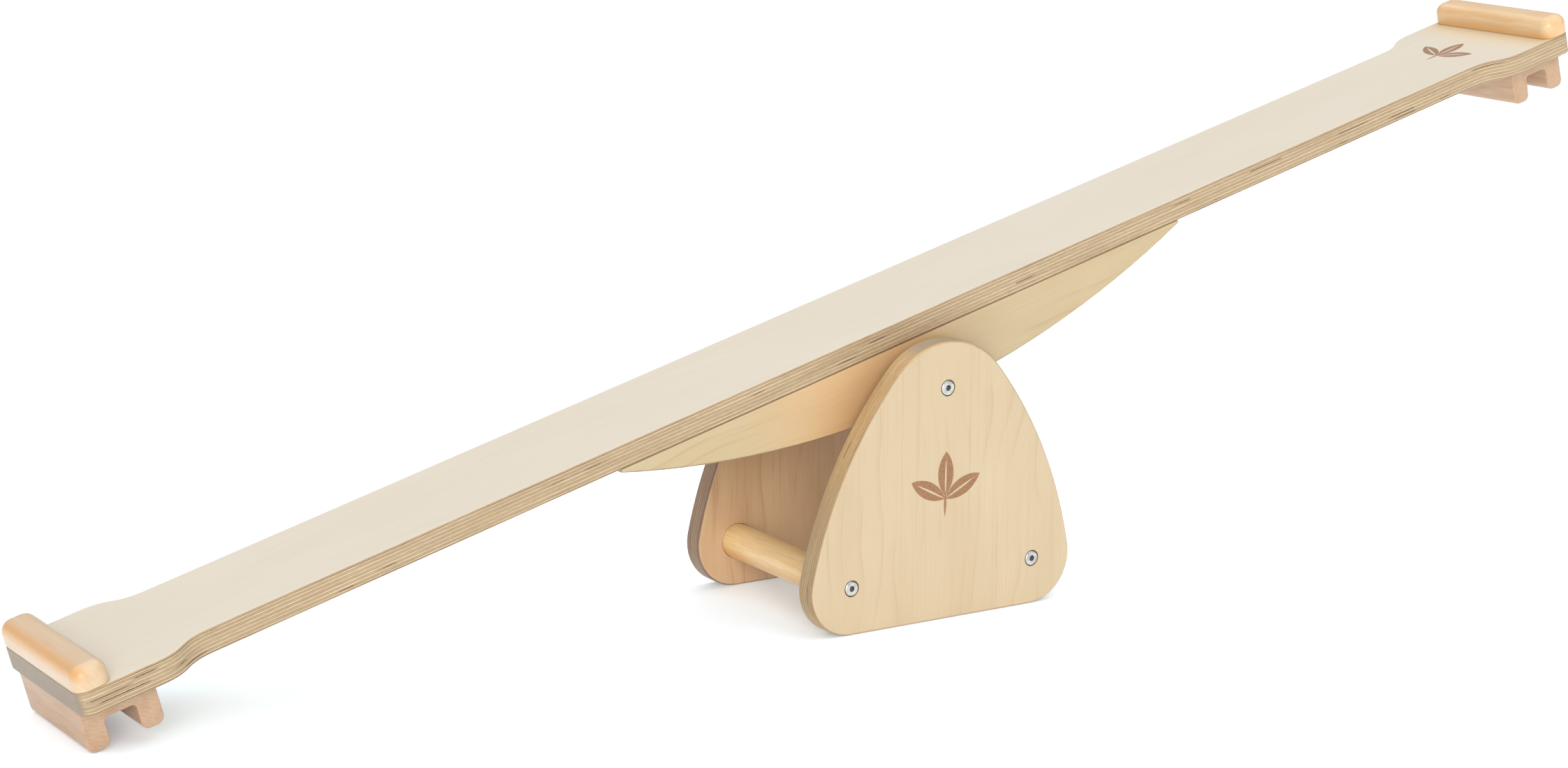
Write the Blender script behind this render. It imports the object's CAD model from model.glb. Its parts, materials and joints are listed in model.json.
import json
import math

import bpy
from mathutils import Matrix, Vector


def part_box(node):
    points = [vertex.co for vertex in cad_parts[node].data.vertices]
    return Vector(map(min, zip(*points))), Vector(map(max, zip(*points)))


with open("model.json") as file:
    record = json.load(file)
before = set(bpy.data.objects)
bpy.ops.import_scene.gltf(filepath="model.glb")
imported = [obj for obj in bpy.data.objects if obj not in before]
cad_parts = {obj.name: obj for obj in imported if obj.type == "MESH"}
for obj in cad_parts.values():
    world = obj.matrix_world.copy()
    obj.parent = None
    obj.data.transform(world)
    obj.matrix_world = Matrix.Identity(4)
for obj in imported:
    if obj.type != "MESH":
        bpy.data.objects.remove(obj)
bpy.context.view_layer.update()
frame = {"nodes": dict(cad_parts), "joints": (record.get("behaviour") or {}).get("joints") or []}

# The CAD nodes keep their shapes. This script gives them their plywood, beech, metal and nylon, and
# sets up the floor, the light and the camera. Lengths inside the shaders are in millimetres.

NODES = frame["nodes"]
TILT_JOINT = frame["joints"][0]
PIVOT = Vector(TILT_JOINT["pos_m"])

# The board travels equally far to both sides of level, and rests at one end of that travel.
REST_TILT = math.radians(TILT_JOINT["range_deg"][1]) / 2

MM = 1000.0
X_AXIS, Y_AXIS, Z_AXIS = 0, 1, 2


def level_height(point):
    """How far a point of the rocker is above the pivot, mm, measured square to the board."""
    offset = point - PIVOT
    return (offset.z * math.cos(REST_TILT) - offset.x * math.sin(REST_TILT)) * MM


PLY_COUNT = 13
PANEL_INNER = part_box("side_panel_far")[0].y * MM
PANEL_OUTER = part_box("side_panel_far")[1].y * MM
RIB_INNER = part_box("rib_far")[0].y * MM
PLANK_UNDERSIDE = min(level_height(vertex.co) for vertex in NODES["plank"].data.vertices)
PLY_SHEET = PANEL_OUTER - PANEL_INNER
PLY_STEP = PLY_SHEET / PLY_COUNT

FOOT_BOLT_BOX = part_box("foot_bolts_near")
FOOT_BOLT_RADIUS = (FOOT_BOLT_BOX[1].z - FOOT_BOLT_BOX[0].z) / 2 * MM
FOOT_BOLT_X = FOOT_BOLT_BOX[1].x * MM - FOOT_BOLT_RADIUS
FOOT_BOLT_Z = (FOOT_BOLT_BOX[0].z + FOOT_BOLT_BOX[1].z) / 2 * MM
SOCKET_RADIUS = 2.2


def srgb(red, green, blue):
    """A linear colour from 0-255 screen values."""
    def linear(value):
        value /= 255.0
        return value / 12.92 if value <= 0.04045 else ((value + 0.055) / 1.055) ** 2.4
    return (linear(red), linear(green), linear(blue), 1.0)


# ---------------------------------------------------------------- shader building

class Shader:
    """A material and short calls for the nodes it is built from."""

    def __init__(self, name):
        self.material = bpy.data.materials.new(name)
        self.material.use_nodes = True
        self.tree = self.material.node_tree
        self.surface = self.tree.nodes["Principled BSDF"]

    def node(self, kind, **settings):
        made = self.tree.nodes.new(kind)
        for key, value in settings.items():
            setattr(made, key, value)
        return made

    def feed(self, socket, value):
        """Links value to a socket, or sets the socket to it if it is a number, colour or vector."""
        if isinstance(value, bpy.types.NodeSocket):
            self.tree.links.new(value, socket)
        else:
            socket.default_value = value

    def feed_all(self, node, values):
        """Feeds the node's first sockets in order, and returns its first output."""
        for socket, value in zip(node.inputs, values):
            self.feed(socket, value)
        return node.outputs[0]

    def math(self, operation, *values, clamp=False):
        made = self.node("ShaderNodeMath", operation=operation, use_clamp=clamp)
        return self.feed_all(made, values)

    def add(self, *values):
        total = values[0]
        for value in values[1:]:
            total = self.math("ADD", total, value)
        return total

    def times(self, first, second):
        return self.math("MULTIPLY", first, second)

    def minus(self, first, second):
        return self.math("SUBTRACT", first, second)

    def larger(self, first, second):
        return self.math("MAXIMUM", first, second)

    def absolute(self, value):
        return self.math("ABSOLUTE", value)

    def length(self, x, y):
        made = self.node("ShaderNodeVectorMath", operation="LENGTH")
        self.feed(made.inputs[0], self.join(x, y, 0.0))
        return made.outputs["Value"]

    def split(self, vector):
        made = self.node("ShaderNodeSeparateXYZ")
        self.feed(made.inputs[0], vector)
        return made.outputs[0], made.outputs[1], made.outputs[2]

    def join(self, x, y, z):
        return self.feed_all(self.node("ShaderNodeCombineXYZ"), (x, y, z))

    def steps(self, value, low, high, to_low=0.0, to_high=1.0):
        """Smooth ramp of value from low..high to to_low..to_high."""
        made = self.node("ShaderNodeMapRange", interpolation_type="SMOOTHSTEP")
        return self.feed_all(made, (value, low, high, to_low, to_high))

    def noise(self, place, scales, seed=0.0, detail=3.0, roughness=0.55):
        """Noise at place, each coordinate times its scale and the last one shifted by seed."""
        x, y, z = (self.times(value, scale) for value, scale in zip(place, scales))
        made = self.node("ShaderNodeTexNoise")
        self.feed(made.inputs["Vector"], self.join(x, y, self.add(z, seed)))
        made.inputs["Scale"].default_value = 1.0
        made.inputs["Detail"].default_value = detail
        made.inputs["Roughness"].default_value = roughness
        return made.outputs[0]

    def centred(self, value, spread):
        """A 0 to 1 value as -spread/2 to +spread/2."""
        return self.times(self.minus(value, 0.5), spread)

    def mix(self, amount, first, second):
        """The colour first where amount is 0, second where it is 1."""
        made = self.node("ShaderNodeMix", data_type="RGBA")
        self.feed(made.inputs["Factor"], amount)
        self.feed(made.inputs[6], first)
        self.feed(made.inputs[7], second)
        return made.outputs[2]

    def blend(self, amount, first, second):
        """The number first where amount is 0, second where it is 1."""
        made = self.node("ShaderNodeMix", data_type="FLOAT")
        self.feed(made.inputs["Factor"], amount)
        self.feed(made.inputs[2], first)
        self.feed(made.inputs[3], second)
        return made.outputs[0]

    def levelled(self, vector, rocking):
        """A rocker vector turned so that the board is level; a stand vector stays as it is."""
        if not rocking:
            return vector
        turn = self.node("ShaderNodeMapping", vector_type="VECTOR")
        turn.inputs["Rotation"].default_value = (0, REST_TILT, 0)
        self.feed(turn.inputs["Vector"], vector)
        return turn.outputs[0]

    def place(self, rocking):
        """The surface point's coordinates, mm; on the rocker they are level and from the pivot."""
        here = self.node("ShaderNodeTexCoord").outputs["Object"]
        if rocking:
            offset = self.node("ShaderNodeVectorMath", operation="SUBTRACT")
            here = self.levelled(self.feed_all(offset, (here, PIVOT)), True)
        x, y, z = self.split(here)
        return self.times(x, MM), self.times(y, MM), self.times(z, MM)

    def facing(self, rocking):
        """The surface normal's three components in the same axes as place()."""
        return self.split(self.levelled(self.node("ShaderNodeTexCoord").outputs["Normal"], rocking))

    def coat(self, weight, roughness):
        """A clear lacquer over the wood."""
        self.surface.inputs["Coat Weight"].default_value = weight
        self.surface.inputs["Coat Roughness"].default_value = roughness

    def finish(self, colour, roughness, height, relief_mm, strength):
        """Joins colour, roughness and relief to the surface, and returns the material."""
        self.feed(self.surface.inputs["Base Color"], colour)
        self.feed(self.surface.inputs["Roughness"], roughness)
        made = self.node("ShaderNodeBump")
        made.inputs["Strength"].default_value = strength
        made.inputs["Distance"].default_value = relief_mm / MM
        self.feed(made.inputs["Height"], height)
        self.feed(self.surface.inputs["Normal"], made.outputs[0])
        return self.material


# ---------------------------------------------------------------- burnt-in motif

PANEL_MARK_HEIGHT, PANEL_MARK_SIZE = 108.0, 52.0
BOARD_MARK_X, BOARD_MARK_SIZE = 628.0, 46.0
CHAR_DARK, CHAR_LIGHT = srgb(122, 78, 42), srgb(146, 98, 56)
MIDRIB_WIDTH = 1.6
SIDE_LEAF_LEAN = 1.1


def pointed_oval(shader, p, q, length, width):
    """1 inside a pointed oval lying along q, 0 outside: the overlap of two equal circles."""
    half = length / 2
    radius = (half ** 2 + (width / 2) ** 2) / width
    reach = shader.add(shader.absolute(p), radius - width / 2)
    return shader.steps(shader.length(reach, q), radius - 0.25, radius + 0.25, 1.0, 0.0)


def leaf(shader, p, q, root_q, lean, length, width):
    """A leaf growing from (0, root_q), leaning from +q towards +p by lean radians, with a pale
    midrib."""
    dq = shader.minus(q, root_q)
    side = shader.minus(shader.times(p, math.cos(lean)), shader.times(dq, math.sin(lean)))
    up = shader.add(shader.times(p, math.sin(lean)), shader.times(dq, math.cos(lean)))
    body = pointed_oval(shader, side, shader.minus(up, length / 2), length, width)
    midrib_length = length * 0.84
    midrib_place = shader.minus(up, midrib_length / 2)
    midrib = pointed_oval(shader, side, midrib_place, midrib_length, MIDRIB_WIDTH)
    return shader.math("SUBTRACT", body, midrib, clamp=True)


def sprig(shader, p, q, size):
    """Three leaves on a short stem, size mm tall, centred on p = q = 0."""
    mask = leaf(shader, p, q, -0.18 * size, 0.0, 0.68 * size, 0.28 * size)
    for lean in (SIDE_LEAF_LEAN, -SIDE_LEAF_LEAN):
        side_leaf = leaf(shader, p, q, -0.22 * size, lean, 0.7 * size, 0.26 * size)
        mask = shader.larger(mask, side_leaf)
    stem = pointed_oval(shader, p, shader.add(q, 0.3 * size), 0.4 * size, 0.045 * size)
    return shader.larger(mask, stem)


def panel_mark(shader, place, facing):
    """The sprig on the near panel's outer face."""
    height = shader.minus(place[Z_AXIS], PANEL_MARK_HEIGHT)
    mask = sprig(shader, place[X_AXIS], height, PANEL_MARK_SIZE)
    outward = shader.steps(facing[Y_AXIS], -0.99, -0.95, 1.0, 0.0)
    near = shader.steps(place[Y_AXIS], -PANEL_INNER - 1.0, -PANEL_INNER, 1.0, 0.0)
    return shader.times(mask, shader.times(outward, near))


def board_mark(shader, place, facing):
    """The sprig on the board's top, just inside the raised end's stop bar."""
    along = shader.minus(place[X_AXIS], BOARD_MARK_X)
    mask = sprig(shader, place[Y_AXIS], along, BOARD_MARK_SIZE)
    return shader.times(mask, shader.steps(facing[Z_AXIS], 0.95, 0.99))


# ---------------------------------------------------------------- plywood

VENEER_FLECK = srgb(150, 112, 76)
SPLIT_TAPER = 5.0
SPLIT_HALF_WIDTH = 0.5

# The looks of a plywood edge:
#   line      the cross plies, which show as thin pale lines
#   tan       the plies between them, with their grain along the edge
#   flank     the same plies where the edge turns towards facing along the face grain
#   skin      the darker patches in those plies
#   seam      the glue lines
#   gap       the splits
#   end       the edge that faces along the face grain, from a facing of end_from on
#   splits    the long splits, as long_splits() takes them
BOARD_EDGE = {
    "line": srgb(209, 190, 158),
    "tan": srgb(174, 149, 113),
    "flank": srgb(174, 149, 113),
    "skin": srgb(153, 127, 94),
    "seam": srgb(92, 64, 38),
    "gap": srgb(84, 54, 32),
    "end": srgb(134, 122, 107),
    "end_from": 0.6,
    "splits": ((-748.0, 21.0, 7.0), (-731.0, 11.0, 13.4), (559.0, 10.0, 15.0)),
}
RIB_EDGE = {**BOARD_EDGE, "splits": ()}
PANEL_EDGE = {
    "line": srgb(190, 164, 122),
    "tan": srgb(164, 137, 97),
    "flank": srgb(196, 158, 108),
    "skin": srgb(148, 120, 83),
    "seam": srgb(104, 76, 48),
    "gap": srgb(84, 54, 32),
    "end": srgb(150, 134, 108),
    "end_from": 0.8,
    "splits": (),
}
FAR_PANEL_EDGE = {
    **PANEL_EDGE,
    "line": srgb(168, 138, 106),
    "tan": srgb(134, 106, 80),
    "flank": srgb(140, 110, 82),
    "skin": srgb(118, 92, 70),
    "seam": srgb(80, 56, 38),
}


def veneer(shader, along, across, seed, pale, deep):
    """Rotary-cut birch face: soft clouds, wandering ring lines, straight fine grain, small flecks.
    Returns its colour, its grain lines and its flecks."""
    spot = (along, across, 0.0)
    clouds = shader.noise(spot, (0.006, 0.02, 0.0), seed)

    sway = shader.noise(spot, (0.004, 0.010, 0.0), seed, detail=2.0)
    bent = shader.add(across, shader.times(along, 0.03), shader.centred(sway, 60.0))
    ring_sway = shader.noise(spot, (0.006, 0.016, 0.0), shader.add(seed, 7.0), detail=1.5)
    rings = shader.math("FRACT", shader.add(shader.times(bent, 0.06), shader.times(ring_sway, 3.0)))
    ring_spots = shader.noise(spot, (0.01, 0.02, 0.0), shader.add(seed, 3.0))
    late = shader.times(shader.math("POWER", rings, 7.0), shader.steps(ring_spots, 0.42, 0.62))

    straight = (along, shader.add(across, shader.times(along, 0.02)), 0.0)
    streaks = shader.noise(straight, (0.002, 0.22, 0.0), seed, detail=4.0, roughness=0.7)
    bent_spot = (along, bent, 0.0)
    lines = shader.noise(bent_spot, (0.006, 0.9, 0.0), seed, detail=4.0, roughness=0.6)
    dashes = shader.noise(bent_spot, (0.1, 1.9, 0.0), seed, detail=1.0)
    flecks = shader.steps(dashes, 0.7, 0.82, 0.0, 0.1)

    tone = shader.add(
        0.26,
        shader.centred(clouds, 0.9),
        shader.times(late, 0.45),
        shader.steps(streaks, 0.54, 0.72, 0.0, 0.36),
        shader.centred(lines, 0.4),
    )
    colour = shader.mix(shader.math("MAXIMUM", tone, 0.0, clamp=True), pale, deep)
    return shader.mix(flecks, colour, VENEER_FLECK), lines, flecks


def long_splits(shader, run, depth, splits):
    """1 inside each long narrow split; a split is (run at its centre, half length, depth), mm."""
    mask = 0.0
    for centre, half, level in splits:
        beyond = shader.absolute(shader.minus(run, centre))
        aside = shader.absolute(shader.minus(depth, level))
        within = shader.steps(beyond, half - SPLIT_TAPER, half, 1.0, 0.0)
        narrow = shader.steps(aside, SPLIT_HALF_WIDTH / 2, SPLIT_HALF_WIDTH, 1.0, 0.0)
        mask = shader.larger(mask, shader.times(within, narrow))
    return mask


def ply_edge(shader, run, depth, along_end, across_end, tones):
    """Layered edge. depth is how far into the sheet a point is, and run how far round its outline,
    taken as the sum of its two places in the sheet's plane. along_end and across_end say how far
    the surface faces along and across the face grain. Returns its colour, its fine grain and its
    open gaps."""
    stack = shader.math("DIVIDE", depth, PLY_STEP)
    layer = shader.math("FLOOR", stack)
    glue_line = shader.math("ROUND", stack)
    from_middle = shader.absolute(shader.minus(shader.math("FRACT", stack), 0.5))
    from_centre = shader.absolute(shader.minus(depth, PLY_SHEET / 2))
    cross_ply = shader.math("MODULO", layer, 2.0)
    spot = (run, layer, depth)
    wander = shader.noise(spot, (0.012, 3.7, 0.0), 1.0)
    fine = shader.noise(spot, (0.16, 5.3, 0.9), 4.0, detail=2.0)
    grit = shader.noise(spot, (0.9, 2.3, 2.0), 8.0)

    tan = shader.mix(shader.steps(along_end, 0.3, 0.65), tones["tan"], tones["flank"])
    tan = shader.mix(shader.steps(wander, 0.3, 0.75, 0.0, 0.6), tan, tones["skin"])
    line_width = shader.steps(from_middle, 0.1, 0.4, 1.0, 0.0)
    line_strength = shader.steps(wander, 0.3, 0.66, 1.0, 0.45)
    lines = shader.times(shader.times(cross_ply, line_width), line_strength)
    lines = shader.times(lines, shader.steps(across_end, 0.2, 0.85, 0.25, 1.0))
    colour = shader.mix(lines, tan, tones["line"])
    colour = shader.mix(shader.times(shader.minus(fine, 0.4), 0.6), colour, tones["seam"])

    broken = shader.noise((run, glue_line, depth), (0.009, 7.1, 0.0), 2.0)
    seams = shader.times(
        shader.steps(from_middle, 0.34, 0.49), shader.steps(broken, 0.46, 0.62, 0.12, 0.85)
    )
    under_skin = shader.absolute(shader.minus(from_centre, PLY_SHEET / 2 - PLY_STEP))
    skin_seams = shader.times(
        shader.steps(under_skin, 0.15, 0.45, 1.0, 0.0), shader.steps(broken, 0.36, 0.6, 0.2, 0.85)
    )
    seams = shader.larger(seams, skin_seams)
    seams = shader.times(seams, shader.steps(across_end, 0.2, 0.7, 0.4, 1.0))
    colour = shader.mix(seams, colour, tones["seam"])

    short_splits = shader.noise(spot, (0.014, 11.3, 0.0), 5.0, detail=1.0)
    ragged = shader.add(short_splits, shader.centred(grit, 0.1))
    gaps = shader.times(
        shader.steps(ragged, 0.68, 0.71), shader.steps(from_middle, 0.14, 0.3, 1.0, 0.0)
    )
    if tones["splits"]:
        rough_depth = shader.add(depth, shader.centred(grit, 0.9))
        gaps = shader.larger(gaps, long_splits(shader, run, rough_depth, tones["splits"]))
    colour = shader.mix(gaps, colour, tones["gap"])

    end = shader.mix(shader.times(grit, 0.5), tones["end"], tones["skin"])
    cut_along = shader.steps(along_end, tones["end_from"], 0.96, 0.0, 0.93)
    gaps = shader.times(gaps, shader.minus(1.0, cut_along))
    return shader.mix(cut_along, colour, end), fine, gaps


def warm_zone(shader, along, span):
    """Rises from 0 to 1 and falls again over the four places of span, (start, full, full, end)."""
    start, full_from, full_to, end = span
    return shader.times(
        shader.steps(along, start, full_from), shader.steps(along, full_to, end, 1.0, 0.0)
    )


def plywood(name, *, rocking, grain, through, inner, seed, face_tones, edge_tones,
            back_tones=None, mark=None, warmth=None):
    """Birch plywood. grain and through are the axes along the face grain and through the sheet, and
    inner is where the sheet starts on the through axis, the same distance out on both sides of 0.
    face_tones are a pale and a deep colour, and back_tones the same for the faces towards the
    middle of the part. mark gives a burnt-in motif. warmth has a span along the grain, where the
    face veneer, or only its back if it has back_tones, takes on a warmer colour by strength."""
    shader = Shader(name)
    place = shader.place(rocking)
    facing = shader.facing(rocking)
    across = X_AXIS + Y_AXIS + Z_AXIS - grain - through
    along_end = shader.absolute(facing[grain])
    across_end = shader.absolute(facing[across])
    depth = shader.minus(shader.absolute(place[through]), inner)
    sheet_seed = shader.add(shader.times(shader.math("SIGN", place[through]), 17.0), seed)

    pale, deep = face_tones
    if back_tones:
        back = shader.steps(depth, PLY_SHEET / 3, PLY_SHEET / 2, 1.0, 0.0)
        pale, deep = (shader.mix(back, front, rear) for front, rear in zip(face_tones, back_tones))
    face, lines, flecks = veneer(shader, place[grain], place[across], sheet_seed, pale, deep)
    if warmth:
        warm = warm_zone(shader, place[grain], warmth["span"])
        if back_tones:
            warm = shader.times(warm, back)
        face = shader.mix(shader.times(warm, warmth["strength"]), face, warmth["colour"])

    run = shader.add(place[grain], place[across])
    edge, fine, gaps = ply_edge(shader, run, depth, along_end, across_end, edge_tones)
    on_face = shader.steps(shader.absolute(facing[through]), 0.8, 0.97)
    colour = shader.mix(on_face, edge, face)
    height = shader.blend(on_face, shader.minus(fine, gaps), shader.minus(lines, flecks))
    face_roughness = shader.steps(lines, 0.2, 0.8, 0.36, 0.48)
    edge_roughness = shader.steps(fine, 0.2, 0.8, 0.52, 0.68)
    roughness = shader.blend(on_face, edge_roughness, face_roughness)
    if mark:
        burnt = mark(shader, place, facing)
        char = shader.steps(shader.noise(place, (0.5, 0.5, 0.5)), 0.3, 0.7)
        colour = shader.mix(
            shader.times(burnt, 0.88), colour, shader.mix(char, CHAR_DARK, CHAR_LIGHT)
        )
        roughness = shader.blend(burnt, roughness, 0.72)
        height = shader.minus(height, shader.times(burnt, 1.6))
    shader.coat(0.2, 0.3)
    return shader.finish(colour, roughness, height, relief_mm=0.12, strength=0.3)


# ---------------------------------------------------------------- solid beech

BEECH_FLECK = srgb(142, 94, 56)
HEART = srgb(204, 146, 76)


def beech(name, *, rocking, pith, ring_step, figure, tones, roughness, coat, heart=None):
    """Solid beech with its grain along Y: rings round pith (x, z), fine grain and short flecks.
    figure scales the contrast between the two tones, pale and deep, and coat is the lacquer's
    weight. heart is a ruddy streak along the grain, (x, z, radius)."""
    shader = Shader(name)
    place = shader.place(rocking)

    def from_line(line_x, line_z):
        """The distance from the line along the grain through (line_x, line_z)."""
        return shader.length(
            shader.minus(place[X_AXIS], line_x), shader.minus(place[Z_AXIS], line_z)
        )

    sway = shader.noise(place, (0.035, 0.01, 0.035), detail=2.0)
    warped = shader.add(from_line(*pith), shader.times(sway, 16.0))
    rings = shader.math("FRACT", shader.math("DIVIDE", warped, ring_step))
    cloud = shader.noise(place, (0.09, 0.016, 0.09), 3.0, detail=2.0)
    grain = shader.noise(place, (0.9, 0.03, 0.9), detail=4.0)
    tone = shader.add(
        shader.times(shader.math("POWER", rings, 3.0), 0.45 * figure),
        shader.steps(grain, 0.3, 0.7, 0.0, 0.45 * figure),
        shader.steps(cloud, 0.3, 0.7, 0.0, 0.4),
    )
    colour = shader.mix(shader.math("MAXIMUM", tone, 0.0, clamp=True), *tones)
    if heart:
        heart_x, heart_z, reach = heart
        off = shader.add(from_line(heart_x, heart_z), shader.centred(sway, 4.0))
        colour = shader.mix(shader.steps(off, 0.15 * reach, reach, 0.7, 0.0), colour, HEART)
    spots = shader.noise(place, (2.2, 0.26, 2.2), detail=1.0)
    flecks = shader.steps(spots, 0.68, 0.8, 0.0, 0.3 * figure)
    colour = shader.mix(flecks, colour, BEECH_FLECK)
    shader.coat(coat, 0.36)
    return shader.finish(
        colour,
        shader.steps(grain, 0.2, 0.8, roughness - 0.04, roughness + 0.08),
        shader.minus(grain, flecks),
        relief_mm=0.08,
        strength=0.18,
    )


# ---------------------------------------------------------------- metal and nylon

SOCKET_DARK = srgb(58, 57, 55)


def socket_shade(shader, place):
    """How dark the stand's bolts are: most near their axes, where the sockets are, and 0 further
    out on their heads."""
    across = shader.absolute(place[X_AXIS])
    to_pivot = shader.length(across, shader.minus(place[Z_AXIS], PIVOT.z * MM))
    to_foot = shader.length(
        shader.minus(across, FOOT_BOLT_X), shader.minus(place[Z_AXIS], FOOT_BOLT_Z)
    )
    nearest = shader.math("MINIMUM", to_pivot, to_foot)
    return shader.steps(nearest, SOCKET_RADIUS - 0.2, SOCKET_RADIUS + 0.35, 0.85, 0.0)


def metal(name, bright, dull, roughness, shade=None):
    """Plated or ground steel with faint tarnish and fine scratches. shade says where it is dark."""
    shader = Shader(name)
    place = shader.place(False)
    cloud = shader.noise(place, (0.35, 0.35, 0.35))
    scratch = shader.noise(place, (0.5, 6.0, 9.0))
    colour = shader.mix(shader.steps(cloud, 0.35, 0.7), bright, dull)
    if shade:
        colour = shader.mix(shade(shader, place), colour, SOCKET_DARK)
    shader.surface.inputs["Metallic"].default_value = 1.0
    scratched = shader.steps(scratch, 0.2, 0.8, roughness - 0.06, roughness + 0.1)
    return shader.finish(colour, scratched, scratch, relief_mm=0.02, strength=0.12)


def nylon(name):
    """Turned off-white nylon with a soft sheen and faint tool lines."""
    shader = Shader(name)
    place = shader.place(False)
    cloud = shader.noise(place, (0.12, 0.12, 0.12))
    turned = shader.noise(place, (0.1, 7.0, 0.1), detail=2.0)
    colour = shader.mix(cloud, srgb(206, 203, 193), srgb(220, 218, 210))
    roughness = shader.steps(turned, 0.2, 0.8, 0.38, 0.52)
    return shader.finish(colour, roughness, turned, relief_mm=0.03, strength=0.2)


# ---------------------------------------------------------------- give each node its material

# Pale and deep colours of each wood.
PANEL_FACE = (srgb(196, 176, 144), srgb(178, 152, 114))
PANEL_BACK = (srgb(207, 175, 138), srgb(170, 128, 90))
BOARD_FACE = (srgb(210, 200, 182), srgb(205, 191, 168))
RIB_FACE = (srgb(188, 169, 132), srgb(168, 141, 100))
HONEY = (srgb(215, 183, 139), srgb(206, 160, 106))
SAND = (srgb(206, 181, 148), srgb(200, 163, 122))
ROD = (srgb(230, 200, 150), srgb(212, 168, 108))
PINK = (srgb(188, 159, 130), srgb(172, 131, 99))

RIB_WARMTH = {
    "span": (-190.0, -70.0, -10.0, 60.0), "strength": 0.38, "colour": srgb(222, 164, 104),
}
PANEL_WARMTH = {
    "span": (70.0, 190.0, 300.0, 310.0), "strength": 0.6, "colour": srgb(158, 98, 60),
}
BOARD_WARMTH = {
    "span": (646.0, 683.0, 710.0, 712.0), "strength": 0.5, "colour": srgb(212, 188, 142),
}

PANEL_SHEET = {
    "rocking": False, "grain": Z_AXIS, "through": Y_AXIS, "inner": PANEL_INNER, "seed": 2.0,
    "face_tones": PANEL_FACE, "back_tones": PANEL_BACK, "warmth": PANEL_WARMTH,
}
BAR_WOOD = {
    "rocking": True, "pith": (20.0, 560.0), "ring_step": 4.2, "figure": 0.6, "roughness": 0.34,
    "coat": 0.5,
}
BLOCK_WOOD = {"rocking": True, "figure": 0.8, "tones": PINK, "roughness": 0.42, "coat": 0.1}


def wear(names, material):
    """Gives the named nodes this material and no other."""
    for name in names:
        slots = NODES[name].data.materials
        slots.clear()
        slots.append(material)


wear(
    ["side_panel_near"],
    plywood("near_panel_plywood", **PANEL_SHEET, edge_tones=PANEL_EDGE, mark=panel_mark),
)
wear(
    ["side_panel_far"],
    plywood("far_panel_plywood", **PANEL_SHEET, edge_tones=FAR_PANEL_EDGE),
)
wear(
    ["plank"],
    plywood(
        "plank_plywood", rocking=True, grain=X_AXIS, through=Z_AXIS, inner=PLANK_UNDERSIDE,
        seed=9.0, face_tones=BOARD_FACE, edge_tones=BOARD_EDGE, mark=board_mark,
        warmth=BOARD_WARMTH,
    ),
)
wear(
    ["rib_near", "rib_far"],
    plywood(
        "rib_plywood", rocking=True, grain=X_AXIS, through=Y_AXIS, inner=RIB_INNER, seed=5.0,
        face_tones=RIB_FACE, edge_tones=RIB_EDGE, warmth=RIB_WARMTH,
    ),
)
wear(
    ["lower_dowel_low_side", "lower_dowel_high_side"],
    beech(
        "dowel_beech", rocking=False, pith=(40.0, 120.0), ring_step=3.4, figure=0.7, tones=ROD,
        roughness=0.3, coat=0.5, heart=(-96.0, 27.0, 13.0),
    ),
)
wear(
    ["stop_bar_low"],
    beech("low_bar_beech", **BAR_WOOD, tones=SAND, heart=(-707.0, 66.0, 10.0)),
)
wear(
    ["stop_bar_high"],
    beech("high_bar_beech", **BAR_WOOD, tones=HONEY, heart=(684.0, 51.0, 11.0)),
)
wear(
    ["hook_block_low"],
    beech("low_block_beech", **BLOCK_WOOD, pith=(-730.0, -80.0), ring_step=3.0),
)
wear(
    ["hook_block_high"],
    beech("high_block_beech", **BLOCK_WOOD, pith=(780.0, -50.0), ring_step=3.2),
)
wear(
    ["rib_pins_near", "rib_pins_far", "block_pins_low", "block_pins_high"],
    beech(
        "pin_beech", rocking=True, pith=(40.0, 40.0), ring_step=2.4, figure=1.0, tones=HONEY,
        roughness=0.55, coat=0.0,
    ),
)
wear(
    ["pivot_bolt_near", "pivot_bolt_far", "foot_bolts_near", "foot_bolts_far"],
    metal("nickel", srgb(206, 205, 200), srgb(178, 176, 170), roughness=0.24, shade=socket_shade),
)
wear(
    ["pivot_axle"],
    metal("axle_steel", srgb(184, 185, 188), srgb(158, 158, 160), roughness=0.3),
)
wear(
    ["dowel_inserts", "bar_screws_low", "bar_screws_high"],
    metal("zinc", srgb(188, 186, 174), srgb(162, 160, 144), roughness=0.38),
)
wear(["pivot_spacer_near", "pivot_spacer_far", "rib_bush_near", "rib_bush_far"], nylon("nylon"))


# ---------------------------------------------------------------- floor, light and camera

FLOOR_RADIUS = 30.0
FLOOR_SIDES = 96
FLOOR_DROP = 0.0002
FLOOR_COLOUR = (0.91, 0.955, 0.98, 1.0)
FLOOR_GLOW = (0.88, 0.96, 1.06, 1.0)
FLOOR_GLOW_STRENGTH = 0.22
WORLD_COLOUR = (0.93, 0.98, 1.06, 1.0)
WORLD_STRENGTH = 0.5

CAMERA_AIM = Vector((-0.0912, 0.0, 0.1797))
CAMERA_DISTANCE = 2.5894
CAMERA_HEADING = math.radians(33.714)
CAMERA_DIP = math.radians(12.666)
CAMERA_ROLL = math.radians(0.911)
CAMERA_LENS = 77.06
SENSOR_WIDTH = 36.0


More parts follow.
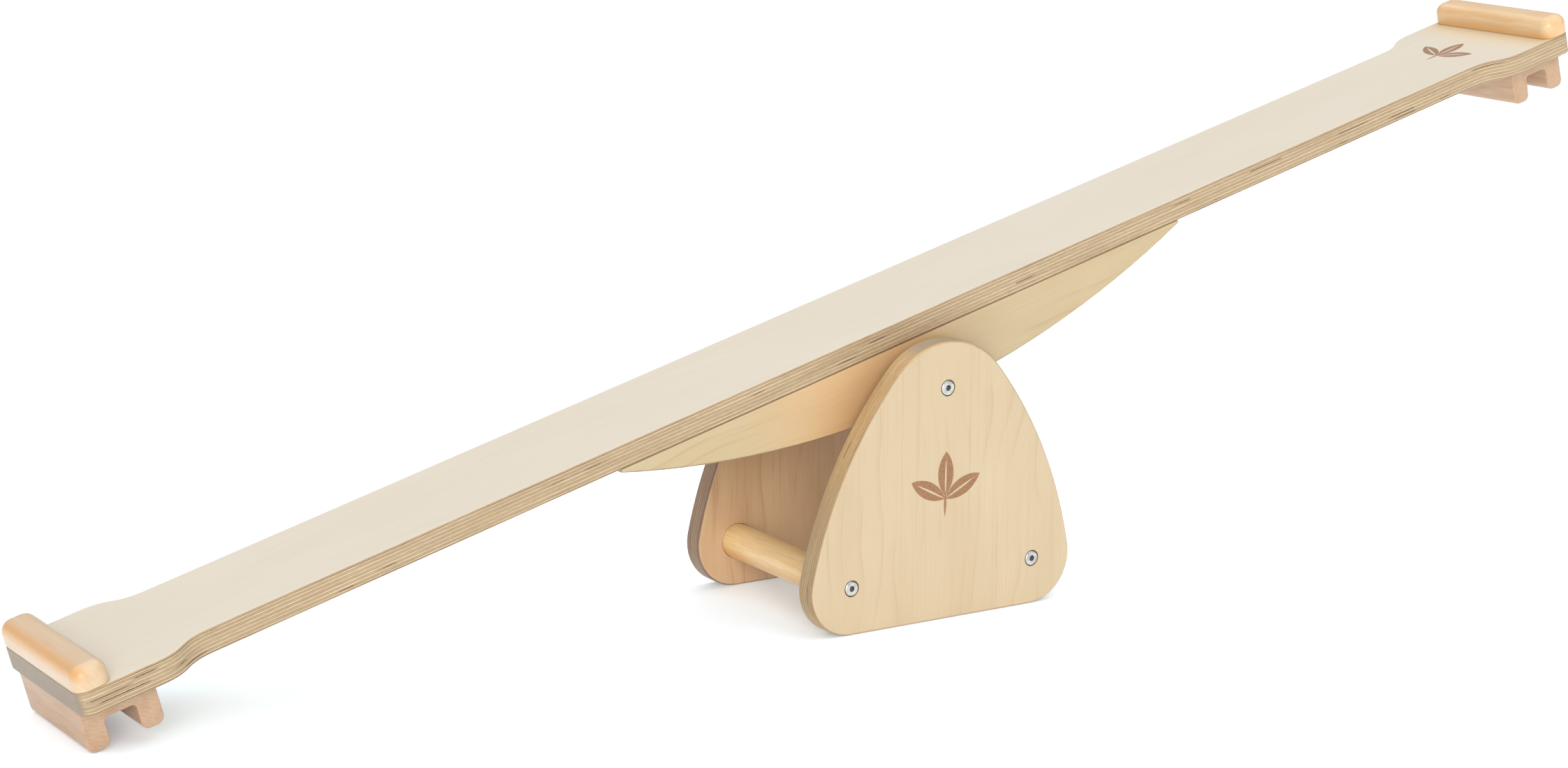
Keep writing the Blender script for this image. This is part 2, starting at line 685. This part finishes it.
def make_floor():
    """A plain pale disc on the ground, just below the feet so that no two faces coincide."""
    corners = [
        (FLOOR_RADIUS * math.cos(turn), FLOOR_RADIUS * math.sin(turn), 0.0)
        for turn in (math.tau * k / FLOOR_SIDES for k in range(FLOOR_SIDES))
    ]
    mesh = bpy.data.meshes.new("studio_floor")
    mesh.from_pydata(corners, [], [list(range(FLOOR_SIDES))])
    floor = bpy.data.objects.new("studio_floor", mesh)
    bpy.context.scene.collection.objects.link(floor)
    floor.location.z = -FLOOR_DROP
    paint = Shader("floor_paint")
    paint.surface.inputs["Base Color"].default_value = FLOOR_COLOUR
    paint.surface.inputs["Roughness"].default_value = 0.9
    paint.surface.inputs["Specular IOR Level"].default_value = 0.0
    paint.surface.inputs["Emission Color"].default_value = FLOOR_GLOW
    paint.surface.inputs["Emission Strength"].default_value = FLOOR_GLOW_STRENGTH
    mesh.materials.append(paint.material)


def make_world():
    """Even light from all round, a little cool."""
    world = bpy.data.worlds.new("studio")
    world.use_nodes = True
    background = world.node_tree.nodes["Background"]
    background.inputs["Color"].default_value = WORLD_COLOUR
    background.inputs["Strength"].default_value = WORLD_STRENGTH
    bpy.context.scene.world = world


def make_sun(name, source, spread_deg, strength, colour):
    """A wide soft light shining from the direction source, equally strong everywhere. At strength 1
    it lights a white surface that faces it to full white."""
    data = bpy.data.lights.new(name, "SUN")
    data.angle = math.radians(spread_deg)
    data.energy = strength * math.pi
    data.color = colour
    light = bpy.data.objects.new(name, data)
    light.rotation_mode = "QUATERNION"
    light.rotation_quaternion = Vector(source).to_track_quat("Z", "Y")
    bpy.context.scene.collection.objects.link(light)


def make_camera():
    """The camera stands to the front left, a little above the board, with a long lens."""
    heading = Vector((math.sin(CAMERA_HEADING), math.cos(CAMERA_HEADING), 0.0))
    forward = heading * math.cos(CAMERA_DIP) - Vector((0.0, 0.0, math.sin(CAMERA_DIP)))
    level_right = Vector((math.cos(CAMERA_HEADING), -math.sin(CAMERA_HEADING), 0.0))
    level_up = level_right.cross(forward)
    right = level_right * math.cos(CAMERA_ROLL) + level_up * math.sin(CAMERA_ROLL)
    up = level_up * math.cos(CAMERA_ROLL) - level_right * math.sin(CAMERA_ROLL)
    data = bpy.data.cameras.new("camera")
    data.sensor_width = SENSOR_WIDTH
    data.lens = CAMERA_LENS
    camera = bpy.data.objects.new("camera", data)
    turn = Matrix((right, up, -forward)).transposed().to_4x4()
    camera.matrix_world = Matrix.Translation(CAMERA_AIM - forward * CAMERA_DISTANCE) @ turn
    bpy.context.scene.collection.objects.link(camera)
    bpy.context.scene.camera = camera


make_floor()
make_world()
make_sun("front", (-0.54, -0.81, 0.3), spread_deg=35.0, strength=0.62, colour=(1.0, 0.96, 0.9))
make_sun("side", (0.45, -1.0, 1.0), spread_deg=60.0, strength=0.09, colour=(1.0, 0.97, 0.92))
make_sun("overhead", (0.0, 0.1, 1.0), spread_deg=90.0, strength=0.54, colour=(1.0, 1.0, 1.0))
make_camera()
bpy.context.scene.view_settings.view_transform = "Standard"
